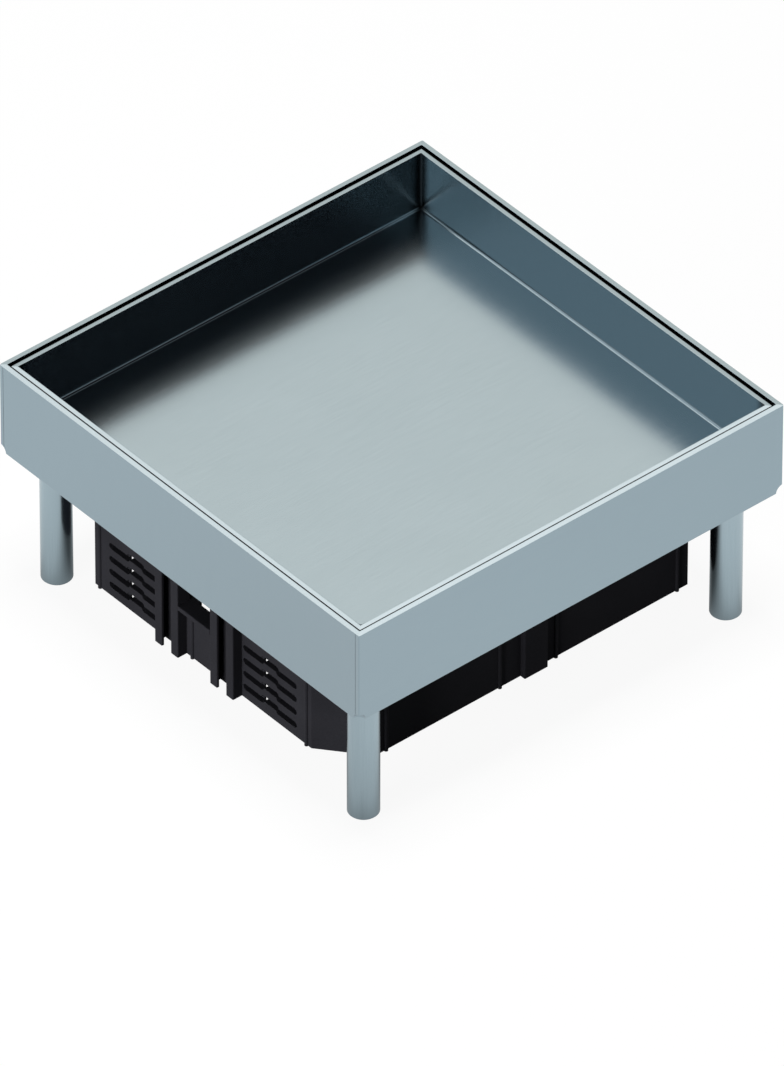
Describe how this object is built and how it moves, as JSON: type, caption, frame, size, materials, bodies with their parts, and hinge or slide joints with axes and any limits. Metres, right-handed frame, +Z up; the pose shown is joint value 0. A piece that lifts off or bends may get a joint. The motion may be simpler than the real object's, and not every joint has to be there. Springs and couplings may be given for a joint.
{
  "type": "floor box cover",
  "caption": "Square stainless floor box cover: a lift-out tray lid for floor covering rests in a folded frame on levelling legs, over a black moulded insert with slotted ends.",
  "frame": {"origin": "on the surface that the feet stand on, under the centre of the square frame", "axes": "+Z up; X along the frame's sides with the insert's slotted ends facing -X and +X"},
  "size_m": [0.25, 0.25, 0.122],
  "materials": {
    "stainless_sheet": "folded stainless sheet, fine satin",
    "stainless_bar": "drawn stainless bar, bright",
    "plated_steel": "bright zinc plated",
    "spring_steel": "blackened spring steel",
    "black_plastic": "moulded, fine spark-eroded texture",
    "gasket_rubber": "closed-cell sponge rubber"
  },
  "bodies": {
    "box": {"frame": "stainless_sheet", "lid_tray": "stainless_sheet", "lid_gasket": "gasket_rubber", "insert": "black_plastic", "insert_screws": "plated_steel", "screw_washers": "plated_steel", "gusset_front": "stainless_sheet", "gusset_right": "stainless_sheet", "gusset_back": "stainless_sheet", "gusset_left": "stainless_sheet"},
    "front_leg": {"leg_front": "stainless_bar"},
    "front_screw": {"levelling_screw_front": "plated_steel", "retaining_ring_front": "spring_steel"},
    "right_leg": {"leg_right": "stainless_bar"},
    "right_screw": {"levelling_screw_right": "plated_steel", "retaining_ring_right": "spring_steel"},
    "back_leg": {"leg_back": "stainless_bar"},
    "back_screw": {"levelling_screw_back": "plated_steel", "retaining_ring_back": "spring_steel"},
    "left_leg": {"leg_left": "stainless_bar"},
    "left_screw": {"levelling_screw_left": "plated_steel", "retaining_ring_left": "spring_steel"}
  },
  "joints": [
    {"name": "front_screw_turn", "type": "hinge", "parent": "box", "child": "front_screw", "pos_m": [-0.1074, -0.1074, 0.0745], "axis": [0, 0, 1], "range_deg": [0, 7200]},
    {"name": "front_leg_slide", "type": "slide", "parent": "box", "child": "front_leg", "axis": [0, 0, -1], "range_m": [0, 0.025]},
    {"name": "right_screw_turn", "type": "hinge", "parent": "box", "child": "right_screw", "pos_m": [0.1074, -0.1074, 0.0745], "axis": [0, 0, 1], "range_deg": [0, 7200]},
    {"name": "right_leg_slide", "type": "slide", "parent": "box", "child": "right_leg", "axis": [0, 0, -1], "range_m": [0, 0.025]},
    {"name": "back_screw_turn", "type": "hinge", "parent": "box", "child": "back_screw", "pos_m": [0.1074, 0.1074, 0.0745], "axis": [0, 0, 1], "range_deg": [0, 7200]},
    {"name": "back_leg_slide", "type": "slide", "parent": "box", "child": "back_leg", "axis": [0, 0, -1], "range_m": [0, 0.025]},
    {"name": "left_screw_turn", "type": "hinge", "parent": "box", "child": "left_screw", "pos_m": [-0.1074, 0.1074, 0.0745], "axis": [0, 0, 1], "range_deg": [0, 7200]},
    {"name": "left_leg_slide", "type": "slide", "parent": "box", "child": "left_leg", "axis": [0, 0, -1], "range_m": [0, 0.025]}
  ],
  "couplings": [
    {"joint": "front_screw_turn", "follows": "front_leg_slide", "rad_per_m": 5026.5},
    {"joint": "right_screw_turn", "follows": "right_leg_slide", "rad_per_m": 5026.5},
    {"joint": "back_screw_turn", "follows": "back_leg_slide", "rad_per_m": 5026.5},
    {"joint": "left_screw_turn", "follows": "left_leg_slide", "rad_per_m": 5026.5}
  ]
}
